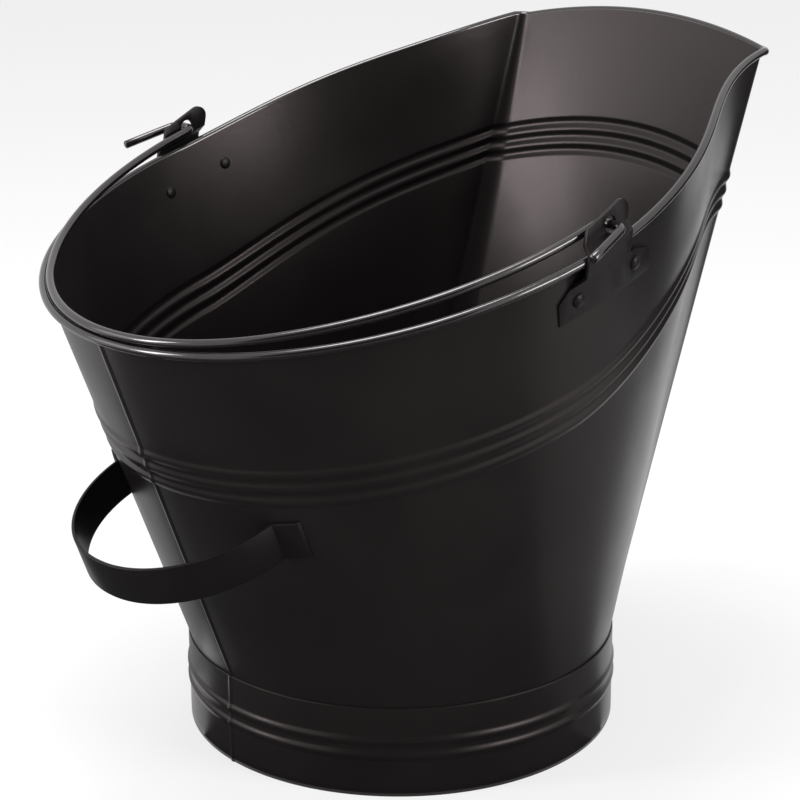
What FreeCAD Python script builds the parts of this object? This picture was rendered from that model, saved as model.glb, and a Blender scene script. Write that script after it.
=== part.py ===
"""Sheet-steel ash bucket with a pouring spout, a wire bail and a tipping handle.

Millimetres. +X points to the spout, +Y to the left side and +Z up.
The origin is the centre of the foot ring on the floor.
"""
import FreeCAD, Part
import math
import os

import Sketcher

Vector = FreeCAD.Vector

SIZES = {
    # sheet, foot ring and neck
    "sheet_t": 1.0,
    "slip": 0.2,
    "ring_r": 130.0,
    "ring_high": 55.0,
    "ring_bead_z": 30.0,
    "ring_bead_pitch": 9.0,
    "ring_bead_wide": 6.0,
    "ring_bead_out": 1.5,
    "ring_lap_turn": 5.0,
    "lap_rise": 0.8,
    "neck_base": 34.0,
    "pan_flange": 14.0,
    # mouth in plan, to the outer face of the wall
    "mouth_back": 210.0,
    "mouth_half": 177.5,
    "widest_back": 26.0,
    "corner_x": 200.0,
    "corner_y": 95.0,
    "corner_r": 7.0,
    "lip_sweep": 11.0,
    "flare_turn": 9.0,
    "side_pull": 129.0,
    "flare_pull": 91.0,
    "flare_fill": 8.0,
    "flare_fade": 70.0,
    # height of the rim at the lip, how far it drops from there, and its slopes
    "lip_z": 402.0,
    "corner_drop": 10.5,
    "side_drop": 80.5,
    "back_drop": 125.5,
    "back_slope": 0.214,
    "side_slope": 0.235,
    "corner_slope": 0.119,
    # where the spout's folds stand on the neck, degrees from the front
    "lip_fold": 36.0,
    "side_fold": 46.0,
    # swaged beads of the wall, measured down from the rim
    "bead_below": 81.0,
    "bead_sag": 9.0,
    "bead_back": 4.0,
    "bead_pitch": 9.0,
    "bead_out": 1.6,
    # rim wire and lap seam
    "wire_d": 4.2,
    "lap_wide": 14.0,
    "lap_below": 6.0,
    # ears, in a frame that lies along the rim with its origin between the rivets
    "ear_t": 2.0,
    "ear_back": 11.3,
    "ear_below": 22.0,
    "ear_half": 36.0,
    "ear_low": 9.0,
    "ear_shoulder": 4.0,
    "ear_seat_top": 11.0,
    "crank_rise": 4.5,
    "crank_reach": 3.5,
    "tongue_in": 4.2,
    "neck_aft": 22.0,
    "neck_fore": 11.5,
    "neck_up": 15.0,
    "tongue_aft": 10.5,
    "tongue_up": 38.2,
    "tip_fore": 15.3,
    "tip_up": 36.6,
    "tip_r": 6.0,
    "tip_turn": 26.0,
    "tip_lean": 10.0,
    "hole_fore": 5.3,
    "hole_up": 33.3,
    "hole_d": 9.0,
    "roll_gap": 0.9,
    "seat_gap": 0.05,
    # rivets
    "rivet_d": 4.0,
    "rivet_head_d": 8.0,
    "rivet_head_high": 2.0,
    "rivet_back_d": 7.5,
    "rivet_back_high": 1.2,
    "rivet_slip": 0.1,
    "rivet_fore": 23.0,
    # bail
    "bail_d": 5.0,
    "bail_reach": 203.0,
    "bail_end_r": 150.0,
    "bail_rest_gap": 0.3,
    "hook_in_r": 5.0,
    "hook_out_r": 7.0,
    "limb_play": 5.2,
    "hook_play": 3.8,
    "hook_splay": 15.0,
    "hook_long": 30.0,
    # tipping handle
    "strap_t": 2.0,
    "strap_high": 23.5,
    "strap_below": 111.0,
    "strap_reach": 53.5,
    "strap_flat": 1.0,
    "strap_bend_r": 69.5,
    "strap_foot": 14.0,
}

doc = FreeCAD.newDocument("ash_bucket")
sheet = doc.addObject("Spreadsheet::Sheet", "Sizes")


def put(alias, value):
    """Write one named size on the sheet."""
    row = put.rows = put.rows + 1
    sheet.set(f"A{row}", alias)
    sheet.set(f"B{row}", str(value))
    sheet.setAlias(f"B{row}", alias)
    put.names.add(alias)


put.rows = 0
put.names = set()
for name, number in SIZES.items():
    put(name, number)
doc.recompute()


def size(alias):
    return float(getattr(sheet, alias))


def bound(formula):
    """An expression whose size names are looked up on the sheet."""
    words = formula.split()
    return " ".join(f"Sizes.{word}" if word in put.names else word for word in words)


T = size("sheet_t")
NECK_R = size("ring_r") - T - size("slip")

# Wall: the sheet's straight lines run from the round neck to the rim

LIP_STEPS, CORNER_STEPS, SIDE_STEPS, BACK_STEPS = 4, 4, 12, 12
FLARE_STEPS, PANEL_STEPS = 7, 2
RIVET_SIDES, BAIL_SIDES = 12, 10


def ease(x, x0, x1, z0, z1, slope0, slope1):
    """Height between two stations with the slope given at each."""
    span = x1 - x0
    u = (x - x0) / span
    ends = z0 * (2 * u**3 - 3 * u**2 + 1) + z1 * (3 * u**2 - 2 * u**3)
    return ends + span * (slope0 * (u**3 - 2 * u**2 + u) + slope1 * (u**3 - u**2))


def unit(angle):
    return Vector(math.cos(angle), math.sin(angle), 0)


def rim_lines():
    """Left half of the wall as (rim point, neck point) pairs, from the middle of the lip to the back."""
    lip_turn = math.radians(size("lip_sweep"))
    flare = math.radians(90 - size("flare_turn"))
    fold = Vector(size("corner_x"), size("corner_y"), 0)
    lip_end = fold + unit(lip_turn) * size("corner_r")
    lip_r = lip_end.y / math.sin(lip_turn)
    lip_centre = Vector(lip_end.x - lip_r * math.cos(lip_turn), 0, 0)
    corner_end = fold + unit(flare) * size("corner_r")
    widest = Vector(-size("widest_back"), size("mouth_half"), 0)
    corner_z, side_z, back_z = (size("lip_z") - size(f"{place}_drop") for place in ("corner", "side", "back"))
    side = Part.BezierCurve()
    side.setPoles([
        corner_end,
        corner_end + Vector(-math.sin(flare), math.cos(flare), 0) * size("flare_pull"),
        widest + Vector(size("side_pull"), 0, 0),
        widest,
    ])
    lines = []

    def add(point, z, degrees):
        neck = unit(math.radians(degrees)) * NECK_R
        lines.append((Vector(point.x, point.y, z), Vector(neck.x, neck.y, size("ring_high"))))

    for i in range(LIP_STEPS):
        u = i / LIP_STEPS
        point = lip_centre + unit(u * lip_turn) * lip_r
        rise = size("corner_drop") * (1 - (point.y / lip_end.y) ** 2)
        add(point, corner_z + rise, u * size("lip_fold"))
    for i in range(CORNER_STEPS):
        u = i / CORNER_STEPS
        point = fold + unit(lip_turn + (flare - lip_turn) * u) * size("corner_r")
        add(point, corner_z, size("lip_fold") + (size("side_fold") - size("lip_fold")) * u)
    for i in range(SIDE_STEPS):
        u = i / SIDE_STEPS
        point = side.value(u)
        z = ease(point.x, widest.x, corner_end.x, side_z, corner_z, size("side_slope"), size("corner_slope"))
        add(point, z, size("side_fold") + (90 - size("side_fold")) * u)
    back_end = -size("mouth_back")
    for i in range(BACK_STEPS + 1):
        degrees = 90 + 90 * i / BACK_STEPS
        turn = unit(math.radians(degrees))
        point = Vector(widest.x + (size("mouth_back") + widest.x) * turn.x, widest.y * turn.y, 0)
        z = ease(point.x, back_end, widest.x, back_z, side_z, size("back_slope"), size("side_slope"))
        add(point, z, degrees)
    return lines


LINES = rim_lines()
BACK = len(LINES) - 1
BREAKS = [LIP_STEPS, LIP_STEPS + CORNER_STEPS, LIP_STEPS + CORNER_STEPS + SIDE_STEPS, BACK]
WIRE_R = size("wire_d") / 2
WIRE_CORNER = WIRE_R / math.cos(math.pi / 6)
EDGE_UP = WIRE_R / 2


def mirrored(point):
    return Vector(point.x, -point.y, point.z)


def down(i):
    """Direction of one straight line, from the rim to the neck."""
    rim, neck = LINES[i]
    return (neck - rim).normalize()


def fill(i, below):
    """How far the side stands out below the flare of the spout, most at a third of the side's length."""
    u = (i - BREAKS[1]) / SIDE_STEPS
    if not 0 < u < 1:
        return 0
    along = (3 * u) ** 2 * (1.5 * (1 - u)) ** 4
    fade = min(max(below / size("flare_fade"), 0), 1)
    above_neck = 1 - below / (LINES[i][1] - LINES[i][0]).Length
    return size("flare_fill") * along * fade**2 * (3 - 2 * fade) * above_neck


def surface(i, below):
    """Point on the wall's outer face, at a distance below the rim along a straight line."""
    return LINES[i][0] + down(i) * below + Vector(0, fill(i, below), 0)


def outward(i, below):
    """Normal of the wall's outer face."""
    before = surface(i - 1, below) if i else mirrored(surface(1, below))
    after = surface(i + 1, below) if i < BACK else mirrored(surface(BACK - 1, below))
    return down(i).cross(after - before).normalize()


def loop(below_of, out):
    """Half loop at a depth that may change along it, shifted outward from the wall's outer face."""
    points = []
    for i in range(len(LINES)):
        below = below_of(i)
        points.append(surface(i, below) + outward(i, below) * out)
    return points


def neck_loop(z, out):
    grow = 1 + out / NECK_R
    return [Vector(neck.x * grow, neck.y * grow, z) for rim, neck in LINES]


def rim_loop(out, up):
    return loop(lambda i: -up, out)


def bead_depth(i):
    """The beads hang lower at the sides and the back than at the front."""
    neck = LINES[i][1] / NECK_R
    return size("bead_below") + size("bead_sag") * neck.y**2 + size("bead_back") * min(neck.x, 0) ** 2


def bead_waves():
    """Shift below the middle bead and height of each crest and valley, from the lowest up."""
    return [(size("bead_pitch") * (1.5 - k / 2), size("bead_out") * (k % 2)) for k in range(7)]


def flare_depth(i, part):
    """Depth at a share of the way from the lowest bead to the neck."""
    low = bead_depth(i) + size("bead_pitch") * 1.5
    return low + ((LINES[i][1] - LINES[i][0]).Length - low) * part


def panel_depth(i, part):
    """Depth at a share of the way from the rim to the highest bead."""
    return (bead_depth(i) - size("bead_pitch") * 1.5) * part


def skin(out):
    """Half loops of one face of the wall, from the foot of the neck to the top edge."""
    loops = [neck_loop(size("neck_base"), out), neck_loop(size("ring_high"), out)]
    for k in range(FLARE_STEPS - 1, 0, -1):
        loops.append(loop(lambda i: flare_depth(i, k / FLARE_STEPS), out))
    for shift, crest in bead_waves():
        loops.append(loop(lambda i: bead_depth(i) + shift, out + crest))
    for k in range(PANEL_STEPS - 1, 0, -1):
        loops.append(loop(lambda i: panel_depth(i, k / PANEL_STEPS), out))
    return loops + [rim_loop(out, -size("wire_d")), rim_loop(out, EDGE_UP)]


def plain_skin(out):
    """The same face without beads."""
    return [neck_loop(size("neck_base"), out), neck_loop(size("ring_high"), out), rim_loop(out, EDGE_UP)]


def curve(points):
    spline = Part.BSplineCurve()
    spline.interpolate(points)
    return spline.toShape()


def loop_edges(half):
    """Closed loop of seven edges: the lip, and a corner, a side and a back on each hand."""
    lip = half[: BREAKS[0] + 1]
    edges = [curve([mirrored(p) for p in reversed(lip[1:])] + lip)]
    for start, end in zip(BREAKS, BREAKS[1:]):
        left = half[start : end + 1]
        edges.append(curve(left))
        edges.append(curve([mirrored(p) for p in left]))
    return edges


def closed_skin(loops):
    """Solid whose faces run through the loops in order and back to the first."""
    rings = [loop_edges(half) for half in loops]
    faces = []
    for ring, following in zip(rings, rings[1:] + rings[:1]):
        for edge, partner in zip(ring, following):
            faces.append(Part.makeRuledSurface(edge, partner))
    shell = Part.makeShell(faces)
    shell.sewShape()
    solid = Part.makeSolid(shell)
    if solid.Volume < 0:
        solid.reverse()
    return solid


def back_lap():
    """Lap of the sheet's ends down the back: a step on the left that runs out to the right."""
    depths = [(flare_depth(BACK, 1), 0)]
    depths += [(bead_depth(BACK) + shift, crest) for shift, crest in bead_waves()]
    depths.append((size("lap_below"), 0))
    side = Vector(0, size("lap_wide") / 2, 0)
    sections = []
    for below, crest in depths:
        face = surface(BACK, below)
        out = outward(BACK, below)
        step = face + side + out * (crest + size("lap_rise"))
        root = face + out * (crest - T / 2)
        sections.append(Part.makePolygon([step, root + side, root - side, step]))
    return Part.makeLoft(sections, True, True)


def feature(label, shape):
    item = doc.addObject("Part::Feature", label)
    item.Shape = shape
    return item


def wall_at(x, below):
    """Point on the wall's left side at a given x."""
    half = loop(lambda i: below, 0)
    across = Part.Plane(Vector(x, 0, 0), Vector(1, 0, 0))
    for start, end in zip(BREAKS[1:], BREAKS[2:]):
        if half[end].x <= x <= half[start].x:
            meeting = curve(half[start : end + 1]).Curve.intersectCS(across)[0][0]
            return Vector(meeting.X, meeting.Y, meeting.Z)
    raise ValueError("no wall at this x")


# Frame of the left ear: along the rim, outward, and up across the rim

ear_mid = wall_at(-size("ear_back"), size("ear_below"))
ear_rim = wall_at(-size("ear_back"), 0)
rim_fore = wall_at(ear_mid.x + size("ear_half"), 0)
rim_aft = wall_at(ear_mid.x - size("ear_half"), 0)
ear_tilt = math.degrees(math.atan2(rim_fore.z - rim_aft.z, rim_fore.x - rim_aft.x))
ear_turn = FreeCAD.Rotation(Vector(0, 1, 0), -ear_tilt)
ALONG = ear_turn.multVec(Vector(1, 0, 0))
ACROSS = ear_turn.multVec(Vector(0, 0, 1))
rim_up = (ear_rim - ear_mid).dot(ACROSS)
side_fore = wall_at(ear_mid.x + size("ear_half"), size("ear_below"))
side_aft = wall_at(ear_mid.x - size("ear_half"), size("ear_below"))
sagitta = ear_mid.y - (side_fore.y + side_aft.y) / 2
put("ear_lean", (ear_rim.y - ear_mid.y) / rim_up)
put("ear_round", size("ear_half") ** 2 / (2 * sagitta))
put("rim_up", rim_up)
put("bail_half", ear_mid.y + size("tongue_in") - size("limb_play"))
put("hook_y", ear_mid.y + size("tongue_in") + size("ear_t") + size("hook_play"))
doc.recompute()


def on_ear(fore, up):
    return ear_mid + ALONG * fore + ACROSS * up


AXLE = on_ear(size("hole_fore"), size("hole_up"))


# Sketches whose corners are pinned to sizes of the sheet

def new_body(label):
    return doc.addObject("PartDesign::Body", label)


def origin_plane(body, role):
    return [item for item in body.Origin.OriginFeatures if item.Role == role][0]


def sketch_on(body, role, label):
    sketch = body.newObject("Sketcher::SketchObject", label)
    sketch.AttachmentSupport = [(origin_plane(body, role), "")]
    sketch.MapMode = "FlatFace"
    return sketch


def value(formula):
    return float(sheet.evalExpression(bound(formula)))


def spot(corner):
    return Vector(value(corner[0]), value(corner[1]), 0)


def pin(sketch, geometry, end, corner):
    """Fix one end of a line or arc at two formulas."""
    for kind, formula in zip(("DistanceX", "DistanceY"), corner):
        rule = sketch.addConstraint(Sketcher.Constraint(kind, -1, 1, geometry, end, value(formula)))
        sketch.setExpression(f"Constraints[{rule}]", bound(formula))


def set_radius(sketch, geometry, formula):
    rule = sketch.addConstraint(Sketcher.Constraint("Radius", geometry, value(formula)))
    sketch.setExpression(f"Constraints[{rule}]", bound(formula))


def polygon(sketch, corners):
    """Closed polygon with every corner pinned."""
    first = sketch.GeometryCount
    spots = [spot(corner) for corner in corners]
    for here, there in zip(spots, spots[1:] + spots[:1]):
        sketch.addGeometry(Part.LineSegment(here, there))
    count = len(corners)
    for k, corner in enumerate(corners):
        sketch.addConstraint(Sketcher.Constraint("Coincident", first + k, 2, first + (k + 1) % count, 1))
        pin(sketch, first + k, 1, corner)


def end_near(sketch, geometry, point):
    """Which end of a line or arc, first or second, stands at a point."""
    item = sketch.Geometry[geometry]
    return 1 if item.StartPoint.distanceToPoint(point) < item.EndPoint.distanceToPoint(point) else 2


def join(sketch, geometry, following, point, kind="Coincident"):
    """Tie two neighbours at the point where they meet."""
    ends = (geometry, end_near(sketch, geometry, point), following, end_near(sketch, following, point))
    sketch.addConstraint(Sketcher.Constraint(kind, *ends))


def pin_at(sketch, geometry, corner):
    pin(sketch, geometry, end_near(sketch, geometry, spot(corner)), corner)


def arc_about(centre, start, end):
    """Arc round a centre by the shorter way, drawn anticlockwise."""
    angles = [math.atan2(p.y - centre.y, p.x - centre.x) for p in (start, end)]
    if (angles[1] - angles[0]) % (2 * math.pi) > math.pi:
        angles.reverse()
    circle = Part.Circle(centre, Vector(0, 0, 1), start.distanceToPoint(centre))
    return Part.ArcOfCircle(circle, *angles)


def revolve(body, sketch, label, formula):
    turned = body.newObject("PartDesign::Revolution", label)
    turned.Profile = sketch
    turned.ReferenceAxis = (sketch, ["V_Axis"])
    turned.setExpression("Angle", bound(formula))
    return turned


# Foot ring, with the lap of its ends at the back

ring = new_body("foot_ring")


def ring_face(rise):
    """Outer face of the ring from the floor up, with its two beads."""
    face = [(f"ring_r + {rise}", "0")]
    for k in (0, 1):
        mid = f"ring_bead_z + ring_bead_pitch * ( {k} - 0.5 )"
        face.append((f"ring_r + {rise}", f"{mid} - ring_bead_wide / 2"))
        face.append((f"ring_r + {rise} + ring_bead_out", mid))
        face.append((f"ring_r + {rise}", f"{mid} + ring_bead_wide / 2"))
    return face + [(f"ring_r + {rise}", "ring_high")]


ring_section = sketch_on(ring, "XZ_Plane", "ring_section")
polygon(ring_section, ring_face("0") + [("ring_r - sheet_t", "ring_high"), ("ring_r - sheet_t", "0")])
revolve(ring, ring_section, "ring_turned", "360")
lap_section = sketch_on(ring, "XZ_Plane", "ring_lap_section")
lap_face = [(f"0 - ( {across} )", up) for across, up in ring_face("lap_rise")]
lap_back = [("0 - ( ring_r - sheet_t / 2 )", "ring_high"), ("0 - ( ring_r - sheet_t / 2 )", "0")]
polygon(lap_section, lap_face + lap_back)
ring_lap = revolve(ring, lap_section, "ring_lap", "ring_lap_turn")
ring_lap.Midplane = True

# Bottom pan: a flanged disc in the ring, on which the neck stands

pan = new_body("bottom_pan")
pan_section = sketch_on(pan, "XZ_Plane", "pan_section")
polygon(pan_section, [
    ("0", "neck_base"),
    ("ring_r - sheet_t - slip", "neck_base"),
    ("ring_r - sheet_t - slip", "neck_base - pan_flange"),
    ("ring_r - 2 * sheet_t - slip", "neck_base - pan_flange"),
    ("ring_r - 2 * sheet_t - slip", "neck_base - sheet_t"),
    ("0", "neck_base - sheet_t"),
])
revolve(pan, pan_section, "pan_turned", "360")

# Ears: a strip rolled to the wall, cranked round the rim wire, then cut to its outline

ear = new_body("ear_blank")
ear.Placement = FreeCAD.Placement(ear_mid - Vector(0, size("ear_round"), 0), ear_turn)
ear_section = sketch_on(ear, "YZ_Plane", "ear_section")
low_seat = ("ear_round - ear_lean * ear_low", "0 - ear_low")
high_seat = ("ear_round + ear_lean * ear_seat_top", "ear_seat_top")
crank = "ear_round + ear_lean * rim_up + wire_d + seat_gap + roll_gap"
tongue = "ear_round + tongue_in"
crank_top = "rim_up + crank_reach"
inner_face = [
    low_seat,
    high_seat,
    (crank, "ear_seat_top + crank_rise"),
    (crank, crank_top),
    (tongue, f"{crank_top} + crank_rise"),
    (tongue, "tip_up + tip_r + 1"),
]
bends = ["0", "0 - ear_t / 2", "0 - ear_t / 2", "ear_t / 2", "ear_t / 2", "0"]
outer_face = [(f"{out} + ear_t", f"{up} + {bend}") for (out, up), bend in zip(inner_face, bends)]
polygon(ear_section, inner_face + outer_face[::-1])
rolled = revolve(ear, ear_section, "ear_rolled", "2.2 * asin( ear_half / ear_round )")
rolled.Midplane = True

ear_outline = sketch_on(ear, "XZ_Plane", "ear_outline")
wide, tall = "ear_half * 3", "tip_up * 2"
left, low = f"0 - {wide}", f"0 - {tall}"
polygon(ear_outline, [(left, low), (wide, low), (wide, tall), (left, tall)])
arc_from = ("tip_fore + tip_r * cos( tip_turn * 1deg )", "tip_up - tip_r * sin( tip_turn * 1deg )")
arc_to = ("tip_fore - tip_r * sin( tip_lean * 1deg )", "tip_up + tip_r * cos( tip_lean * 1deg )")
outline = [
    arc_to,
    ("0 - tongue_aft", "tongue_up"),
    ("0 - neck_aft", "neck_up"),
    ("0 - ear_half", "ear_shoulder"),
    ("0 - ear_half", "0 - ear_low"),
    ("ear_half", "0 - ear_low"),
    ("ear_half", "ear_shoulder"),
    ("neck_fore", "neck_up"),
    arc_from,
]
first = ear_outline.GeometryCount
spots = [spot(corner) for corner in outline]
for here, there in zip(spots, spots[1:]):
    ear_outline.addGeometry(Part.LineSegment(here, there))
over = spot(("tip_fore", "tip_up")) + unit(math.radians(45)) * size("tip_r")
cap = ear_outline.addGeometry(Part.Arc(spots[-1], over, spots[0]))
for k, corner in enumerate(outline[1:-1], start=first):
    join(ear_outline, k, k + 1, spot(corner))
    pin_at(ear_outline, k, corner)
join(ear_outline, cap - 1, cap, spots[-1])
join(ear_outline, first, cap, spots[0])
pin_at(ear_outline, cap, arc_from)
pin_at(ear_outline, cap, arc_to)
set_radius(ear_outline, cap, "tip_r")
ear_cut = ear.newObject("PartDesign::Pocket", "ear_trimmed")
ear_cut.Profile = ear_outline
ear_cut.Type = "ThroughAll"
ear_cut.Midplane = True

hole_sketch = sketch_on(ear, "XZ_Plane", "axle_hole")
centre = spot(("hole_fore", "hole_up"))
hole_sketch.addGeometry(Part.Circle(centre, Vector(0, 0, 1), size("hole_d") / 2))
pin(hole_sketch, 0, 3, ("hole_fore", "hole_up"))
set_radius(hole_sketch, 0, "hole_d / 2")
hole = ear.newObject("PartDesign::Pocket", "ear_bored")
hole.Profile = hole_sketch
hole.Type = "ThroughAll"
hole.Midplane = True

# Bail, drawn in its own plane: along its reach and across the bucket

wire_back = LINES[BACK][0] + outward(BACK, 0) * (size("seat_gap") + WIRE_R)
bail_rest = wire_back.z + WIRE_CORNER + size("bail_rest_gap") + size("bail_d") / 2
bail_drop = math.degrees(math.asin((AXLE.z - bail_rest) / size("bail_reach")))
bail_half, end_r = size("bail_half"), size("bail_end_r")
run = size("bail_reach") - end_r - size("hook_in_r")
put("bail_side_r", (run**2 + bail_half**2 - end_r**2) / 2 / (bail_half - end_r))
doc.recompute()
bail = new_body("bail_handle")
bail_turn = FreeCAD.Rotation(Vector(0, 1, 0), 180 - bail_drop)
bail.Placement = FreeCAD.Placement(Vector(AXLE.x, 0, AXLE.z), bail_turn)
bail_path = sketch_on(bail, "XY_Plane", "bail_path")
splay = "hook_splay * 1deg"
path_end = ("bail_reach", "0")
limb_end = ("hook_in_r", "bail_half")
axle_in = ("0", "bail_half + hook_in_r")
axle_out = ("0", "hook_y")
stub = (f"hook_out_r - hook_out_r * sin( {splay} )", f"hook_y + hook_out_r * cos( {splay} )")
tip = (f"{stub[0]} + hook_long * cos( {splay} )", f"{stub[1]} + hook_long * sin( {splay} )")
end_centre = spot(("bail_reach - bail_end_r", "0"))
side_centre = spot(("hook_in_r", "bail_half - bail_side_r"))
meet = side_centre + (end_centre - side_centre).normalize() * size("bail_side_r")
bail_path.addGeometry(arc_about(end_centre, spot(path_end), meet))
bail_path.addGeometry(arc_about(side_centre, meet, spot(limb_end)))
bend_centre = spot(("hook_in_r", "bail_half + hook_in_r"))
bail_path.addGeometry(arc_about(bend_centre, spot(limb_end), spot(axle_in)))
bail_path.addGeometry(Part.LineSegment(spot(axle_in), spot(axle_out)))
bail_path.addGeometry(arc_about(spot(("hook_out_r", "hook_y")), spot(axle_out), spot(stub)))
bail_path.addGeometry(Part.LineSegment(spot(stub), spot(tip)))
join(bail_path, 0, 1, meet, "Tangent")
for k, corner in enumerate((limb_end, axle_in, axle_out, stub), start=1):
    join(bail_path, k, k + 1, spot(corner))
    pin_at(bail_path, k, corner)
pin_at(bail_path, 0, path_end)
pin_at(bail_path, 5, tip)
bail_path.addConstraint(Sketcher.Constraint("PointOnObject", 0, 3, -1))
for k, formula in ((0, "bail_end_r"), (1, "bail_side_r"), (2, "hook_in_r"), (4, "hook_out_r")):
    set_radius(bail_path, k, formula)
bail_section = sketch_on(bail, "XZ_Plane", "bail_section")
turns = [f"{360 / BAIL_SIDES * (k + 0.5)}deg" for k in range(BAIL_SIDES)]
polygon(bail_section, [
    (f"bail_reach + bail_d / 2 * cos( {turn} )", f"bail_d / 2 * sin( {turn} )") for turn in turns
])
bail_swept = bail.newObject("PartDesign::AdditivePipe", "bail_swept")
bail_swept.Profile = bail_section
bail_swept.Spine = (bail_path, [f"Edge{k}" for k in range(1, 7)])
bail_both = bail.newObject("PartDesign::Mirrored", "bail_both")
bail_both.Originals = [bail_swept]
bail_both.MirrorPlane = (origin_plane(bail, "XZ_Plane"), [""])
bail.Tip = bail_both

# Tipping handle: a strap bent to a round loop, square to the back, with feet that lie on the wall

strap_place = FreeCAD.Placement(
    surface(BACK, size("strap_below")),
    FreeCAD.Rotation(outward(BACK, size("strap_below")), Vector(0, 1, 0), down(BACK), "XYZ"),
)
wall_r = -strap_place.Base.x
loop_half = size("strap_flat") + size("strap_bend_r")
put("strap_root", wall_r - math.sqrt(wall_r**2 - loop_half**2) + 2 * T)
doc.recompute()
strap = new_body("strap_loop")
strap.Placement = strap_place
strap_plan = sketch_on(strap, "XY_Plane", "strap_plan")


def strap_bend(inset):
    """Ends of the bend of one face of the strap, on the left: in the wall, and at the flat end."""
    within = "( strap_root + strap_reach - strap_bend_r )"
    root = ("0 - strap_root", f"strap_flat + sqrt( ( strap_bend_r - {inset} ) ^ 2 - {within} ^ 2 )")
    flat = (f"strap_reach - {inset}", "strap_flat")
    return root, flat


def opposite(corner):
    return (corner[0], f"0 - ( {corner[1]} )")


def strap_face(inset):
    """One face of the strap: a bend on each hand, and the flat end between them."""
    root, flat = strap_bend(inset)
    centre = spot(("strap_reach - strap_bend_r", "strap_flat"))
    first = strap_plan.GeometryCount
    strap_plan.addGeometry(arc_about(centre, spot(root), spot(flat)))
    strap_plan.addGeometry(arc_about(mirrored(centre), mirrored(spot(root)), mirrored(spot(flat))))
    end = strap_plan.addGeometry(Part.LineSegment(spot(flat), mirrored(spot(flat))))
    for k, side in ((first, (root, flat)), (first + 1, (opposite(root), opposite(flat)))):
        join(strap_plan, k, end, spot(side[1]))
        pin_at(strap_plan, k, side[0])
        pin_at(strap_plan, k, side[1])
        set_radius(strap_plan, k, f"strap_bend_r - {inset}")
    return first


outer_bend = strap_face("0")
inner_bend = strap_face("strap_t")
for hand, turn in enumerate((lambda p: p, mirrored)):
    outer_root = turn(spot(strap_bend("0")[0]))
    inner_root = turn(spot(strap_bend("strap_t")[0]))
    close = strap_plan.addGeometry(Part.LineSegment(outer_root, inner_root))
    join(strap_plan, outer_bend + hand, close, outer_root)
    join(strap_plan, inner_bend + hand, close, inner_root)
loop_pad = strap.newObject("PartDesign::Pad", "strap_padded")
loop_pad.Profile = strap_plan
loop_pad.setExpression("Length", bound("strap_high"))

feet = []
for hand, label in ((1, "strap_foot_left"), (-1, "strap_foot_right")):
    block = doc.addObject("Part::Box", label)
    block.setExpression("Length", bound("strap_reach"))
    block.setExpression("Width", bound("strap_foot"))
    block.setExpression("Height", bound("strap_high"))
    limb = loop_half - size("strap_t") / 2
    start = limb if hand > 0 else -limb - size("strap_foot")
    shift = FreeCAD.Placement(Vector(-size("strap_reach") * 0.8, start, 0), FreeCAD.Rotation())
    block.Placement = strap_place.multiply(shift)
    feet.append(block)


def boolean(kind, label, base, tool):
    item = doc.addObject(kind, label)
    item.Base = base
    item.Tool = tool
    return item


# Forms of the wall's outer face, to which the ears and the strap's feet are fitted

seat = feature("seat_form", closed_skin(plain_skin(size("seat_gap")) + plain_skin(-4 * T)[::-1]))
over_seat = plain_skin(size("seat_gap") + size("strap_t"))
cover = feature("foot_form", closed_skin(over_seat + plain_skin(size("seat_gap"))[::-1]))
foot_left = boolean("Part::Common", "foot_left", cover, feet[0])
foot_right = boolean("Part::Common", "foot_right", cover, feet[1])
loop_cut = boolean("Part::Cut", "strap_seated", strap, seat)
handle = doc.addObject("Part::MultiFuse", "tipping_handle")
handle.Shapes = [loop_cut, foot_left, foot_right]
ear_seated = boolean("Part::Cut", "ear_seated", ear, seat)
doc.recompute()

# Rivets stand square to the wall, two through each ear

sheet_form = closed_skin(skin(0) + skin(-T)[::-1])
BORE_LONG = 4 * (size("ear_t") + T)
rivet_spots = []
for fore in (size("rivet_fore"), -size("rivet_fore")):
    guess = on_ear(fore, 0) + Vector(0, 4 * size("ear_t"), 0)
    gap, pairs, support = sheet_form.distToShape(Part.Vertex(guess))
    stand = pairs[0][0]
    axis = (guess - stand).normalize()
    under = Part.makeCylinder(size("rivet_head_d") / 2, BORE_LONG, stand, axis).common(ear_seated.Shape)
    under.Placement = FreeCAD.Placement(stand, FreeCAD.Rotation(Vector(0, 0, 1), axis)).inverse()
    rivet_spots.append((stand, axis, under.optimalBoundingBox().ZMax))


def stack(stations):
    """Solid through regular polygons, given as (radius, height) pairs."""
    sections = []
    for radius, high in stations:
        corners = [unit(math.tau * k / RIVET_SIDES) * radius + Vector(0, 0, high) for k in range(RIVET_SIDES)]
        sections.append(Part.makePolygon(corners + corners[:1]))
    return Part.makeLoft(sections, True, True)


def rivet_form(grip):
    """Rivet upright on the wall's outer face: domed head, shank and formed tail."""
    head = grip + size("seat_gap")
    tail = -T - size("seat_gap")
    head_r, head_high = size("rivet_head_d") / 2, size("rivet_head_high")
    back_r, back_high = size("rivet_back_d") / 2, size("rivet_back_high")
    dome = stack([(head_r, head), (head_r * 0.85, head + head_high * 0.6), (head_r * 0.45, head + head_high)])
    shank = stack([(size("rivet_d") / 2, tail), (size("rivet_d") / 2, head)])
    foot = stack([(back_r, tail), (back_r * 0.6, tail - back_high)])
    return dome.fuse([shank, foot]).removeSplitter()


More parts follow.
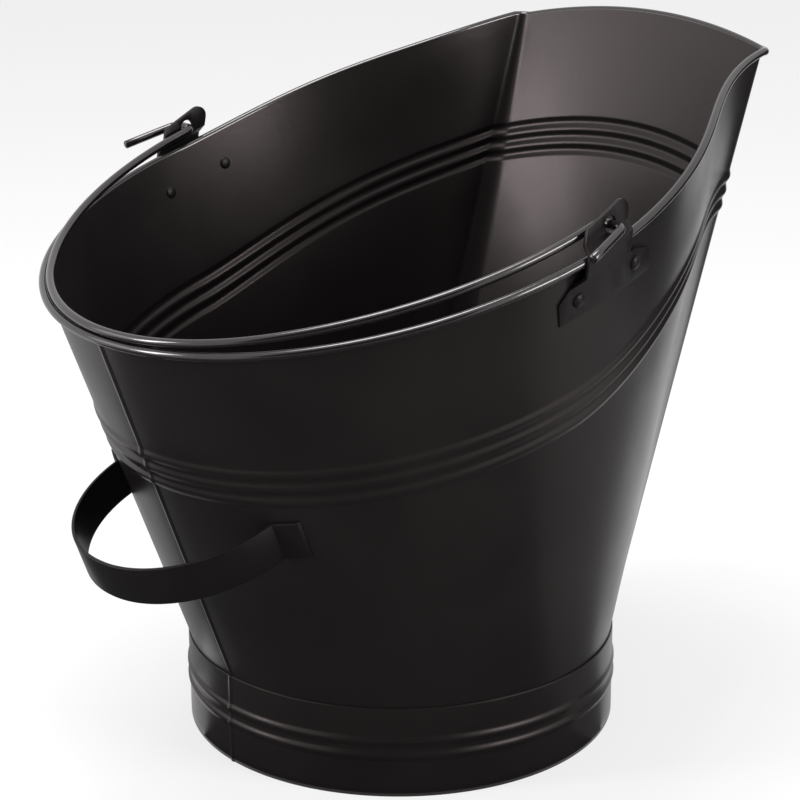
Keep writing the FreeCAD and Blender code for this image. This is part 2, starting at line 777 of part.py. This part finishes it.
bores = []
rivets = []
bore_r = size("rivet_d") / 2 + size("rivet_slip")
for stand, axis, grip in rivet_spots:
    for flip in (lambda p: p, mirrored):
        way = flip(axis)
        bores.append(Part.makeCylinder(bore_r, BORE_LONG, flip(stand) - way * (BORE_LONG / 2), way))
        rivet = rivet_form(grip)
        rivet.Placement = FreeCAD.Placement(flip(stand), FreeCAD.Rotation(Vector(0, 0, 1), way))
        rivets.append(rivet)
ear_rivets = feature("ear_rivets", Part.makeCompound(rivets))
holes = feature("rivet_bores", Part.makeCompound(bores))
left_ear = boolean("Part::Cut", "left_ear", ear_seated, holes)
right_ear = doc.addObject("Part::Mirroring", "right_ear")
right_ear.Source = left_ear
right_ear.Normal = Vector(0, 1, 0)

# Sheet body with its lap, and the wire along its rim

rolled_sheet = feature("rolled_sheet", sheet_form)
lapped = boolean("Part::Fuse", "lapped_sheet", rolled_sheet, feature("back_lap", back_lap()))
wall = boolean("Part::Cut", "body_wall", lapped, holes)
wire_loops = []
for degrees in (150, 90, 30, -30, -90, -150):
    turn = unit(math.radians(degrees)) * WIRE_CORNER
    wire_loops.append(rim_loop(size("seat_gap") + WIRE_R + turn.x, turn.y))
rim_wire = feature("rim_wire", closed_skin(wire_loops))
doc.recompute()

nodes = [wall, rim_wire, ring, pan, left_ear, right_ear, ear_rivets, handle, bail]
for item in doc.Objects:
    if "Invalid" in item.State or "Error" in item.State:
        raise RuntimeError(f"{item.Label} did not build")
os.makedirs("parts", exist_ok=True)
for item in nodes:
    if item.Shape.isNull() or not item.Shape.isValid():
        raise RuntimeError(f"{item.Label} has no valid shape")
    item.Shape.exportStep(f"parts/{item.Label}.step")
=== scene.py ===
"""Looks of the ash bucket: finer pressed sheet, rolled rim, round bail, rivets and black paint.

The bucket's sizes are in millimetres until a mesh is made, in the frame of the CAD part, and those of the
floor, cards, lamps and camera in metres. Angles are written in degrees.
"""
import math

import bmesh
import bpy
import numpy as np
from mathutils import Matrix, Vector


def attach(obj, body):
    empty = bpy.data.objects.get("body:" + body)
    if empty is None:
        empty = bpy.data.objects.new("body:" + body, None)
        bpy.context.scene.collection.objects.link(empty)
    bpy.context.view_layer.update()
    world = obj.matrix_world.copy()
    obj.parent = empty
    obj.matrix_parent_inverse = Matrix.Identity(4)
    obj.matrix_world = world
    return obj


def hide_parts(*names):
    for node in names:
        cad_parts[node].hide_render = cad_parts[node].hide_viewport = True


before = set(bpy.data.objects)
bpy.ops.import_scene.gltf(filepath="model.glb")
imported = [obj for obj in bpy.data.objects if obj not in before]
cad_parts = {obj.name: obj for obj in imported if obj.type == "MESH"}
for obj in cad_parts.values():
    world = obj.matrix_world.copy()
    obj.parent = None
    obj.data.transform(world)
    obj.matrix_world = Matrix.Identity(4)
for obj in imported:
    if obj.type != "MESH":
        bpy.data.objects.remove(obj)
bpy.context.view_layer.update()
scene = bpy.context.scene

# Neck and foot ring
SHEET = 1.0
NECK_R, NECK_Z, NECK_FOOT = 128.8, 55.0, 34.0
RING_R, RING_HIGH = 130.0, 55.0
RING_BEADS = (25.5, 34.5)
RING_EDGE_IN, RING_EDGE_HIGH = 0.25, 0.35

# Mouth in plan: corner of the spout, widest station of the sides, and how the side runs between them
CORNER, CORNER_R = np.array([200.0, 95.0]), 7.0
LIP_SWEEP, FLARE_TURN = math.radians(11.0), math.radians(81.0)
WIDEST = np.array([-26.0, 177.5])
BACK_REACH = 184.0
FLARE_PULL, SIDE_PULL = 91.0, 129.0
FLARE_FILL, FLARE_FADE = 8.0, 70.0

# Height of the rim and its slope at the corner, the side and the back, and the crown of the lip
CORNER_Z, SIDE_Z, BACK_Z = 391.5, 321.5, 276.5
CORNER_SLOPE, SIDE_SLOPE, BACK_SLOPE = 0.119, 0.235, 0.214
LIP_CROWN = 10.5

# Where the folds of the spout and the widest station stand on the neck, from the front
LIP_FOLD, SIDE_FOLD, SIDE_TURN = 36.0, 46.0, 90.0

# Lap of the sheet's ends, a sharper ridge than in the CAD part: height, start below the rim, and the angles
# from the back at which it begins, is full and ends
LAP_RISE, LAP_BELOW = 0.8, 5.0
LAP_SPREAD = (1.45, 2.3, 2.42, 3.5)
LAP_TURNS = [180.0 - from_back + shift for from_back in LAP_SPREAD for shift in (-0.08, 0.0, 0.08)]

# Beads of the wall, measured down from the rim, and the profile of all beads, lower than in the CAD part
BEAD_BELOW, BEAD_SAG, BEAD_BACK, BEAD_PITCH = 81.0, 9.0, 4.0, 9.0
BEAD_OUT, BEAD_ROUND = 1.15, 1.6
WALL_BEAD_HALF, RING_BEAD_HALF = 4.1, 3.4

# Rolled rim, thicker than in the CAD part: radius, and how far its middle stands outside the wall
RIM_R, RIM_OUT = 2.5, 1.75

# Bail: hinge, angle of rest, wire, outline in its own plane and hooks
AXLE = Vector((-15.178, 0.0, 336.789))
BAIL_DROP = 15.956
BAIL_R, BAIL_REACH, BAIL_END_R, BAIL_HALF = 2.5, 203.0, 150.0, 172.383
HOOK_Y, HOOK_IN_R, HOOK_OUT_R, HOOK_LEVEL = 183.383, 5.0, 7.0, 2.0
HOOK_SPLAY, HOOK_RUN = 15.0, (10.0, 20.0, 30.0)

# Rivets: depth below the rim, shank, domed head, formed tail and the small flat at both tips
RIVET_BELOW, RIVET_R = 22.0, 2.0
HEAD_R, HEAD_HIGH = 4.0, 2.1
TAIL_R, TAIL_HIGH = 3.75, 1.2
TIP_R = 0.01

# Fineness of the meshes
LIP_STEPS, CORNER_STEPS, SIDE_STEPS, BACK_STEPS = 36, 20, 96, 110
NECK_LOOPS, WALL_FOOT = (NECK_FOOT, 48.0, 53.5), 0.985
LOW_LOOPS, BEAD_LOOPS, HIGH_LOOPS = 16, 43, 13
RING_SIDES, RING_LOOPS = 360, 90
RING_FINE, RING_INSIDE = (6.0, 54.4), (RING_HIGH, 30.0, 0.0)
RIM_SIDES, BAIL_SIDES, RIVET_SIDES = 20, 18, 28


# Surface of the wall

def ease(x, x0, x1, z0, z1, slope0, slope1):
    """Height between two stations with the slope given at each."""
    span = x1 - x0
    u = (x - x0) / span
    ends = z0 * (2 * u**3 - 3 * u**2 + 1) + z1 * (3 * u**2 - 2 * u**3)
    return ends + span * (slope0 * (u**3 - 2 * u**2 + u) + slope1 * (u**3 - u**2))


def rim_and_neck():
    """Closed loops of rim points, neck points and the sides' stand-out below the spout's flare."""
    lip_y = CORNER[1] + CORNER_R * math.sin(LIP_SWEEP)
    lip_r = lip_y / math.sin(LIP_SWEEP)
    lip_x = CORNER[0] + CORNER_R * math.cos(LIP_SWEEP) - lip_r * math.cos(LIP_SWEEP)
    rows = []
    for u in np.arange(LIP_STEPS) / LIP_STEPS:
        y = lip_r * math.sin(u * LIP_SWEEP)
        z = CORNER_Z + LIP_CROWN * (1 - (y / lip_y) ** 2)
        rows.append((lip_x + lip_r * math.cos(u * LIP_SWEEP), y, z, LIP_FOLD * u, 0.0))
    for u in np.arange(CORNER_STEPS) / CORNER_STEPS:
        turn = LIP_SWEEP + (FLARE_TURN - LIP_SWEEP) * u
        corner = CORNER + CORNER_R * np.array([math.cos(turn), math.sin(turn)])
        rows.append((*corner, CORNER_Z, LIP_FOLD + (SIDE_FOLD - LIP_FOLD) * u, 0.0))
    start = CORNER + CORNER_R * np.array([math.cos(FLARE_TURN), math.sin(FLARE_TURN)])
    poles = [
        start,
        start + FLARE_PULL * np.array([-math.sin(FLARE_TURN), math.cos(FLARE_TURN)]),
        WIDEST + np.array([SIDE_PULL, 0.0]),
        WIDEST,
    ]
    for u in np.arange(SIDE_STEPS) / SIDE_STEPS:
        weights = ((1 - u) ** 3, 3 * u * (1 - u) ** 2, 3 * u * u * (1 - u), u**3)
        x, y = sum(weight * pole for weight, pole in zip(weights, poles))
        z = ease(x, WIDEST[0], start[0], SIDE_Z, CORNER_Z, SIDE_SLOPE, CORNER_SLOPE)
        # Fades in and out along the side, and is full a third of the way from the fold
        stand = FLARE_FILL * (3 * u) ** 2 * (1.5 * (1 - u)) ** 4
        rows.append((x, y, z, SIDE_FOLD + (SIDE_TURN - SIDE_FOLD) * u, stand))
    back_turns = np.linspace(SIDE_TURN, 180.0, BACK_STEPS + 1)
    for turn in np.sort(np.append(back_turns, LAP_TURNS)):
        angle = math.radians(turn)
        x = WIDEST[0] + BACK_REACH * math.cos(angle)
        z = ease(x, WIDEST[0] - BACK_REACH, WIDEST[0], BACK_Z, SIDE_Z, BACK_SLOPE, SIDE_SLOPE)
        rows.append((x, WIDEST[1] * math.sin(angle), z, turn, 0.0))
    half = np.array(rows)
    rim = half[:, :3]
    angle = np.radians(half[:, 3])
    neck = np.stack([NECK_R * np.cos(angle), NECK_R * np.sin(angle), np.full(len(angle), NECK_Z)], 1)
    stand_out = np.zeros_like(rim)
    stand_out[:, 1] = half[:, 4]
    flip = np.array([1.0, -1.0, 1.0])
    return [np.vstack([side, side[-2:0:-1] * flip]) for side in (rim, neck, stand_out)]


RIM, NECK, STAND = rim_and_neck()
LONG = np.linalg.norm(NECK - RIM, axis=1)
DOWN = (NECK - RIM) / LONG[:, None]
ROUND = NECK / NECK_R
BEADS = BEAD_BELOW + BEAD_SAG * ROUND[:, 1] ** 2 + BEAD_BACK * np.minimum(ROUND[:, 0], 0) ** 2


def face_points(below):
    """Points of the wall's outer face at a depth below the rim."""
    fade = np.clip(below / FLARE_FADE, 0, 1)
    part = fade * fade * (3 - 2 * fade) * (1 - below / LONG)
    return RIM + DOWN * below[:, None] + STAND * part[:, None]


def normals(points):
    """Outward normals of the wall along one loop."""
    along = np.roll(points, -1, 0) - np.roll(points, 1, 0)
    out = np.cross(DOWN, along)
    return out / np.linalg.norm(out, axis=1)[:, None]


def lap_lift(from_back):
    """How far the lap of the sheet's ends stands proud at an angle from the back."""
    return np.interp(from_back, LAP_SPREAD, (0.0, LAP_RISE, LAP_RISE, 0.0))


def wall_loop(below, out, outer):
    """Loop on one face of the wall, at a depth below the rim and shifted outward."""
    points = face_points(below)
    from_back = np.degrees(np.arctan2(NECK[:, 1], -NECK[:, 0]))
    lift = out + (lap_lift(from_back) * np.clip(below - LAP_BELOW, 0, 1) if outer else 0.0)
    return points + normals(points) * np.broadcast_to(lift, len(points))[:, None]


def round_bead(off, half):
    """Height of a round bead at a distance from its middle."""
    return BEAD_OUT * np.cos(np.clip(off / half, 0, 1) * math.pi / 2) ** BEAD_ROUND


def bead_height(shift):
    """Height of the three beads of the wall at a distance below the middle one."""
    off = np.abs((shift + BEAD_PITCH * 1.5) % BEAD_PITCH - BEAD_PITCH / 2)
    return round_bead(off, WALL_BEAD_HALF)


def wall_face(base, outer):
    """Loops of one face of the wall from the foot of the neck up to the rim."""
    loops = []
    for z in NECK_LOOPS:
        ring = NECK * (1 + base / NECK_R)
        loops.append(np.column_stack([ring[:, :2], np.full(len(ring), z)]))
    band = BEAD_PITCH * 1.5
    low, high = BEADS + band, BEADS - band
    for u in np.linspace(WALL_FOOT, 0.0, LOW_LOOPS)[:-1]:
        loops.append(wall_loop(low + (LONG - low) * u, base, outer))
    for shift in np.linspace(band, -band, BEAD_LOOPS):
        loops.append(wall_loop(BEADS + shift, base + bead_height(shift), outer))
    for u in np.linspace(1.0, 0.0, HIGH_LOOPS)[1:]:
        loops.append(wall_loop(high * u, base, outer))
    return loops


# Meshes

def settle(piece, body, node):
    """Hang a piece on its body, in the place of a CAD node."""
    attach(piece, body)
    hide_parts(node)
    return piece


def smooth_object(name, mesh):
    """Object with smooth faces."""
    mesh.polygons.foreach_set("use_smooth", [True] * len(mesh.polygons))
    piece = bpy.data.objects.new(name, mesh)
    scene.collection.objects.link(piece)
    return piece


def sharpen(piece, degrees):
    """Shade the edges that turn by more than this as sharp."""
    piece.data.set_sharp_from_angle(angle=math.radians(degrees))


def add_piece(name, points, faces, body, node):
    """Smooth mesh piece from points in millimetres."""
    mesh = bpy.data.meshes.new(name)
    mesh.from_pydata((np.asarray(points) / 1000).tolist(), [], [list(face) for face in faces])
    mesh.validate()
    mesh.update()
    return settle(smooth_object(name, mesh), body, node)


def loft(loops, around=False):
    """Points and faces through loops of equal count, closed onto the first loop or capped at both ends."""
    count = len(loops[0])
    faces = []
    last = len(loops) if around else len(loops) - 1
    for j in range(last):
        a, b = j * count, (j + 1) % len(loops) * count
        for i in range(count):
            k = (i + 1) % count
            faces.append((a + i, a + k, b + k, b + i))
    if not around:
        faces += [range(count - 1, -1, -1), range(last * count, (last + 1) * count)]
    return np.vstack(loops), faces


def lathe(profile):
    """Closed profile of (radius, height, lapped) turned about the upright axis."""
    even_turns = np.linspace(-180.0, 180.0, RING_SIDES, endpoint=False)
    turns = np.sort(np.append(even_turns, LAP_TURNS))
    angles = np.radians(turns)
    from_back = np.where(turns > 0, 180.0 - turns, -180.0 - turns)
    loops = []
    for radius, z, lapped in profile:
        grown = radius + lap_lift(from_back) * lapped
        level = np.full(len(turns), z)
        loops.append(np.column_stack([grown * np.cos(angles), grown * np.sin(angles), level]))
    return loft(loops, around=True)


def tube(path, radius, sides):
    """Round tube along a flat path of points, whose ends are slightly rounded off."""
    path = np.asarray(path)
    along = np.gradient(path, axis=0)
    along /= np.linalg.norm(along, axis=1)[:, None]
    third = path[len(path) // 3]
    flat = np.cross(third - path[0], path[-1] - third)
    flat /= np.linalg.norm(flat)
    aside = np.cross(flat, along)
    turns = np.linspace(0, math.tau, sides, endpoint=False)

    def ring(k, shrink, push):
        centre = path[k] + along[k] * push
        reach = radius * shrink
        return np.array([centre + reach * (math.cos(t) * aside[k] + math.sin(t) * flat) for t in turns])

    rounded_end = ((0.88, 0.4), (0.55, 0.8), (0.05, 0.9))
    loops = [ring(0, shrink, -push) for shrink, push in reversed(rounded_end)]
    loops += [ring(k, 1.0, 0.0) for k in range(len(path))]
    loops += [ring(len(path) - 1, shrink, push) for shrink, push in rounded_end]
    return loft(loops)


def body_wall():
    """Pressed sheet with an outer and an inner face."""
    loops = wall_face(0.0, True) + wall_face(-SHEET, False)[::-1]
    points, faces = loft(loops, around=True)
    return add_piece("pressed_sheet", points, faces, "bucket", "body_wall")


def rim_roll():
    """Rolled edge of the sheet, a round bead that swallows the sheet's top edge."""
    out = normals(RIM)
    loops = []
    for t in np.linspace(0, math.tau, RIM_SIDES, endpoint=False):
        loops.append(RIM + out * (RIM_OUT + RIM_R * math.cos(t)) - DOWN * (RIM_R * math.sin(t)))
    points, faces = loft(loops, around=True)
    return add_piece("rolled_rim", points, faces, "bucket", "rim_wire")


def foot_ring():
    """Beaded ring with its two outer edges eased."""
    profile = []
    for z in (0.0, RING_EDGE_HIGH, *np.linspace(*RING_FINE, RING_LOOPS), RING_HIGH):
        rise = sum(round_bead(abs(z - mid), RING_BEAD_HALF) for mid in RING_BEADS)
        edge = RING_EDGE_IN if z in (0.0, RING_HIGH) else 0.0
        profile.append((RING_R + rise - edge, z, True))
    profile += [(RING_R - SHEET, z, False) for z in RING_INSIDE]
    points, faces = lathe(profile)
    return add_piece("beaded_ring", points, faces, "bucket", "foot_ring")


def arc(centre, radius, start, end, steps):
    """Points of a flat arc."""
    return [
        (centre[0] + radius * math.cos(t), centre[1] + radius * math.sin(t))
        for t in np.linspace(math.radians(start), math.radians(end), steps)
    ]


def bail():
    """Wire bent in its own plane: a round end, two sides and a hook through each ear."""
    middle = BAIL_REACH - BAIL_END_R
    run = middle - HOOK_IN_R
    side_r = (run**2 + BAIL_HALF**2 - BAIL_END_R**2) / 2 / (BAIL_HALF - BAIL_END_R)
    meet = math.degrees(math.atan2(side_r - BAIL_HALF, run))
    flat = arc((middle, 0.0), BAIL_END_R, 0, meet, steps=48)
    flat += arc((HOOK_IN_R, BAIL_HALF - side_r), side_r, meet, 90, steps=30)[1:]
    flat += arc((HOOK_IN_R, BAIL_HALF + HOOK_IN_R), HOOK_IN_R, 270, 180, steps=9)[1:]
    flat += [(0.0, HOOK_Y - HOOK_LEVEL)]
    flat += arc((HOOK_OUT_R, HOOK_Y), HOOK_OUT_R, 180, 90 + HOOK_SPLAY, steps=10)
    splay, (end_u, end_v) = math.radians(HOOK_SPLAY), flat[-1]
    flat += [(end_u + go * math.cos(splay), end_v + go * math.sin(splay)) for go in HOOK_RUN]
    flat = [(u, -v) for u, v in flat[:0:-1]] + flat
    turn = Matrix.Rotation(math.radians(180 - BAIL_DROP), 3, "Y")
    path = [tuple(AXLE + turn @ Vector((u, v, 0))) for u, v in flat]
    points, faces = tube(path, BAIL_R, BAIL_SIDES)
    return add_piece("bail_wire", points, faces, "bail", "bail_handle")


def rivet_profile(low, high):
    """Radius and height from the end of the formed tail up to the tip of the domed head."""
    crown, seat = high - HEAD_HIGH, low + TAIL_HIGH
    head_turns, tail_turns = np.linspace(math.pi / 2, 0.25, 7), np.linspace(1.3, 0, 6)
    head = [(HEAD_R * math.sin(t), crown + HEAD_HIGH * math.cos(t)) for t in head_turns]
    tail = [(TAIL_R * math.cos(t), seat - TAIL_HIGH * math.sin(t)) for t in tail_turns]
    return [(TIP_R, low)] + tail + [(RIVET_R, seat), (RIVET_R, crown)] + head + [(TIP_R, high)]


def rivets():
    """Domed heads outside and formed tails inside, set where the CAD rivets stand."""
    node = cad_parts["ear_rivets"]
    spots = np.array([vertex.co for vertex in node.data.vertices]) * 1000
    middle = spots[:, 0].mean()
    near = RIM + DOWN * RIVET_BELOW
    outward = normals(near)
    angles = np.linspace(0, math.tau, RIVET_SIDES, endpoint=False)
    points, faces = [], []
    for fore in (True, False):
        for left in (True, False):
            mine = spots[((spots[:, 0] > middle) == fore) & ((spots[:, 1] > 0) == left)]
            centre = (mine.min(0) + mine.max(0)) / 2
            k = int(np.argmin(np.linalg.norm(near - centre, axis=1)))
            axis = Vector(outward[k])
            heights = (mine - centre) @ np.array(axis)
            turn = axis.to_track_quat("Z", "Y")
            loops = []
            for radius, z in rivet_profile(heights.min(), heights.max()):
                ring = [Vector((radius * math.cos(t), radius * math.sin(t), z)) for t in angles]
                loops.append(np.array([Vector(centre) + turn @ spot for spot in ring]))
            made, sides = loft(loops)
            faces += [[i + len(points) for i in side] for side in sides]
            points += list(made)
    return add_piece("domed_rivets", points, faces, "bucket", "ear_rivets")


def softened(name, node, width, body):
    """Copy of a CAD node with its sharp edges eased."""
    flat_turn, sharp_turn = math.radians(0.5), math.radians(40)
    mesh = bpy.data.meshes.new(name)
    work = bmesh.new()
    work.from_mesh(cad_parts[node].data)
    bmesh.ops.remove_doubles(work, verts=work.verts, dist=1e-6)
    bmesh.ops.dissolve_limit(work, angle_limit=flat_turn, verts=work.verts, edges=work.edges)
    inner_edges = [edge for edge in work.edges if len(edge.link_faces) == 2]
    sharp = [edge for edge in inner_edges if edge.calc_face_angle(0) > sharp_turn]
    bmesh.ops.bevel(
        work, geom=sharp, offset=width / 1000, segments=2, profile=0.5, affect="EDGES", clamp_overlap=True
    )
    bmesh.ops.triangulate(work, faces=work.faces)
    work.to_mesh(mesh)
    work.free()
    piece = smooth_object(name, mesh)
    sharpen(piece, 35)
    return settle(piece, body, node)


sheet_piece = body_wall()
rim_piece = rim_roll()
ring_piece = foot_ring()
bail_piece = bail()
rivet_piece = rivets()
strap_piece = softened("strap_handle", "tipping_handle", 0.35, "bucket")
left_piece = softened("ear_left_plate", "left_ear", 0.3, "bucket")
right_piece = softened("ear_right_plate", "right_ear", 0.3, "bucket")
for piece in (sheet_piece, ring_piece, rivet_piece):
    sharpen(piece, 50)
pan_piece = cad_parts["bottom_pan"]


# Paint

def paint(name, dark, pale, rough, gleam, warmth, grain, peel):
    """Satin black paint: uneven tone and gloss, fine grain and a slight orange peel."""
    material = bpy.data.materials.new(name)
    material.use_nodes = True
    nodes, links = material.node_tree.nodes, material.node_tree.links
    shader = nodes["Principled BSDF"]
    place = nodes.new("ShaderNodeTexCoord")

    def noise(scale, detail):
        item = nodes.new("ShaderNodeTexNoise")
        item.inputs["Scale"].default_value = scale
        item.inputs["Detail"].default_value = detail
        links.new(place.outputs["Object"], item.inputs["Vector"])
        return item.outputs["Fac"]

    def ramp(source, low, high, first, second):
        item = nodes.new("ShaderNodeValToRGB")
        for stop, position, tone in zip(item.color_ramp.elements, (low, high), (first, second)):
            stop.position = position
            stop.color = (*tone, 1)
        links.new(source, item.inputs["Fac"])
        return item.outputs["Color"]

    def bump(source, strength, distance):
        item = nodes.new("ShaderNodeBump")
        item.inputs["Strength"].default_value = strength
        item.inputs["Distance"].default_value = distance
        links.new(source, item.inputs["Height"])
        return item

    cloud = noise(scale=14.0, detail=5.0)
    links.new(ramp(cloud, 0.35, 0.7, dark, pale), shader.inputs["Base Color"])
    smear = noise(scale=38.0, detail=6.0)
    glossy, dull = (rough - 0.02,) * 3, (rough + 0.02,) * 3
    links.new(ramp(smear, 0.3, 0.7, glossy, dull), shader.inputs["Roughness"])
    orange_peel = bump(noise(scale=260.0, detail=2.0), strength=peel, distance=0.0004)
    skin = bump(noise(scale=grain, detail=3.0), strength=peel * 0.8, distance=0.0001)
    links.new(orange_peel.outputs["Normal"], skin.inputs["Normal"])
    links.new(skin.outputs["Normal"], shader.inputs["Normal"])
    shader.inputs["Specular IOR Level"].default_value = gleam
    shader.inputs["Specular Tint"].default_value = (1.0, 1 - warmth, 1 - warmth, 1)
    return material


sheet_paint = paint(
    "sheet_paint", dark=(0.0078, 0.0070, 0.0069), pale=(0.0110, 0.0098, 0.0096),
    rough=0.30, gleam=0.28, warmth=0.16, grain=2600.0, peel=0.10,
)
wire_paint = paint(
    "wire_paint", dark=(0.0070, 0.0064, 0.0064), pale=(0.0100, 0.0091, 0.0091),
    rough=0.14, gleam=0.8, warmth=0.06, grain=3000.0, peel=0.04,
)
fitting_paint = paint(
    "fitting_paint", dark=(0.0060, 0.0054, 0.0054), pale=(0.0090, 0.0080, 0.0079),
    rough=0.36, gleam=0.18, warmth=0.1, grain=2600.0, peel=0.10,
)


def wear(material, *pieces):
    """Give pieces a paint."""
    for piece in pieces:
        piece.data.materials.clear()
        piece.data.materials.append(material)


wear(sheet_paint, sheet_piece, ring_piece)
wear(wire_paint, rim_piece, bail_piece)
wear(fitting_paint, strap_piece, left_piece, right_piece, rivet_piece)
for holder in pan_piece.material_slots:
    holder.material = sheet_paint


# Floor, and cards that paint shade into reflections

FLOOR_HALF, FLOOR_TONE, FLOOR_GLOW = 6, 0.93, 0.7
CARD_Z = 0.002


def matt_face(name, tone, corners):
    """One flat face of the set, its matt grey shader and that shader's tree."""
    mesh = bpy.data.meshes.new(name)
    mesh.from_pydata(corners, [], [tuple(range(len(corners)))])
    look = bpy.data.materials.new(name)
    look.use_nodes = True
    shader = look.node_tree.nodes["Principled BSDF"]
    shader.inputs["Base Color"].default_value = (tone, tone, tone, 1)
    shader.inputs["Roughness"].default_value = 0.9
    mesh.materials.append(look)
    item = bpy.data.objects.new(name, mesh)
    scene.collection.objects.link(item)
    return item, shader, look.node_tree


def seen_directly(tree):
    """Mask of the rays that look at the set itself: from the camera, or by reflection or through glass."""
    kind = tree.nodes.new("ShaderNodeLightPath")
    mask = kind.outputs["Is Camera Ray"]
    for name in ("Is Glossy Ray", "Is Transmission Ray"):
        either = tree.nodes.new("ShaderNodeMath")
        either.operation = "MAXIMUM"
        tree.links.new(mask, either.inputs[0])
        tree.links.new(kind.outputs[name], either.inputs[1])
        mask = either.outputs[0]
    return mask


def blend_looks(tree, mask, lit, seen, output):
    """Show the second shader where the mask is on, and the first elsewhere."""
    mixed = tree.nodes.new("ShaderNodeMixShader")
    for source, socket in zip((mask, lit.outputs[0], seen.outputs[0]), mixed.inputs):
        tree.links.new(source, socket)
    tree.links.new(mixed.outputs[0], tree.nodes[output].inputs["Surface"])


floor, pale_floor, tree = matt_face("floor", FLOOR_TONE, [
    (-FLOOR_HALF, -FLOOR_HALF, 0), (FLOOR_HALF, -FLOOR_HALF, 0),
    (FLOOR_HALF, FLOOR_HALF, 0), (-FLOOR_HALF, FLOOR_HALF, 0),
])
pale_floor.inputs["Specular IOR Level"].default_value = 0.1
share = tree.nodes.new("ShaderNodeMath")
share.operation = "MULTIPLY"
share.inputs[1].default_value = FLOOR_GLOW
tree.links.new(seen_directly(tree), share.inputs[0])
glow = tree.nodes.new("ShaderNodeEmission")
blend_looks(tree, share.outputs[0], pale_floor, glow, "Material Output")


def flag(name, tone, corners):
    """Dark card that only reflections see: painted shade in reflections, which keeps the white set out of
    them on one side; it casts no shadow and lights nothing.
    """
    card, _, _ = matt_face(name, tone, corners)
    card.visible_camera = False
    card.visible_diffuse = False
    card.visible_shadow = False


def floor_flag(name, tone, outline):
    """Dark or grey card that lies on the floor: painted shade in the floor's reflection only."""
    flag(name, tone, [(x, y, CARD_Z) for x, y in outline])


# Cards below: painted shade in the bucket's reflections where the white set would show; the camera does not
# see them
flag("right_flag", 0.02, [(0.62, -0.6, 0.0), (0.62, -0.05, 0.0), (0.62, -0.05, 0.5), (0.62, -0.6, 0.5)])
floor_flag("right_floor", 0.28, [
    (0.04, -0.12), (0.11, -0.11), (0.24, -0.14), (0.62, -0.14), (0.62, -0.6), (0.23, -0.6), (0.10, -0.29),
])
floor_flag("front_floor", 0.05, [
    (-0.12, 0.03), (-0.15, 0.13), (-0.20, 0.25), (-0.26, 0.38), (-0.9, 0.6),
    (-1.1, -0.6), (-0.4, -1.1), (0.35, -0.9), (0.10, -0.29), (0.04, -0.12),
])
# Grey card: painted shade in the floor's reflection beside the bucket on the left
floor_flag("left_floor", 0.5, [
    (-0.15, 0.13), (-0.20, 0.25), (-0.26, 0.38), (-0.30, 0.9), (0.35, 0.9), (0.25, 0.20), (0.0, 0.12),
])
flag("camera_flag", 0.02, [(-2.15, -0.45, 0.0), (-0.4, -2.2, 0.0), (-0.4, -2.2, 2.2), (-2.15, -0.45, 2.2)])

# Light

world = bpy.data.worlds.new("studio")
world.use_nodes = True
scene.world = world
tree = world.node_tree
sky = tree.nodes["Background"]
backdrop = tree.nodes.new("ShaderNodeBackground")
for light, strength in ((sky, 0.5), (backdrop, 1.0)):
    light.inputs["Color"].default_value = (1, 1, 1, 1)
    light.inputs["Strength"].default_value = strength
blend_looks(tree, seen_directly(tree), sky, backdrop, "World Output")


def lamp(name, place, aim, power, width, height):
    """Soft box that faces a point."""
    light = bpy.data.lights.new(name, "AREA")
    light.shape = "RECTANGLE"
    light.size, light.size_y = width, height
    light.energy = power
    item = bpy.data.objects.new(name, light)
    item.location = place
    item.rotation_mode = "QUATERNION"
    item.rotation_quaternion = (Vector(aim) - Vector(place)).to_track_quat("-Z", "Y")
    scene.collection.objects.link(item)


lamp("left_box", (-1.45, 1.35, 0.85), (0, 0, 0.3), power=4, width=0.7, height=1.0)
lamp("left_strip", (-1.65, 0.82, 0.92), (0, 0, 0.3), power=17, width=0.32, height=0.9)
lamp("right_box", (0.55, -1.8, 0.95), (0, 0, 0.3), power=22, width=0.9, height=0.7)
lamp("top_box", (-0.1, 0.2, 1.9), (0, 0, 0.2), power=22, width=0.8, height=0.8)

# Camera, fitted to the photo

AZIMUTH, ELEVATION, ROLL = (math.radians(angle) for angle in (-42.67, 18.15, -0.45))
TARGET, DISTANCE = Vector((0, 0, 0.2)), 1.3658
SHIFT_RIGHT, SHIFT_DOWN = 0.00075, 0.0047
FOCAL_PIXELS, PHOTO_PIXELS, SENSOR = 2292.5, 800, 36.0

back = Vector((
    math.sin(AZIMUTH) * math.cos(ELEVATION),
    -math.cos(AZIMUTH) * math.cos(ELEVATION),
    math.sin(ELEVATION),
))
level = Vector((math.cos(AZIMUTH), math.sin(AZIMUTH), 0))
upright = back.cross(level)
right = level * math.cos(ROLL) + upright * math.sin(ROLL)
up = upright * math.cos(ROLL) - level * math.sin(ROLL)
eye = TARGET + back * DISTANCE + right * SHIFT_RIGHT - up * SHIFT_DOWN
lens = bpy.data.cameras.new("camera")
lens.sensor_fit = "HORIZONTAL"
lens.sensor_width = SENSOR
lens.lens = FOCAL_PIXELS / PHOTO_PIXELS * SENSOR
camera = bpy.data.objects.new("camera", lens)
camera.matrix_world = Matrix((
    (right.x, up.x, back.x, eye.x),
    (right.y, up.y, back.y, eye.y),
    (right.z, up.z, back.z, eye.z),
    (0, 0, 0, 1),
))
scene.collection.objects.link(camera)
scene.camera = camera
scene.view_settings.view_transform = "Standard"

bpy.context.view_layer.update()
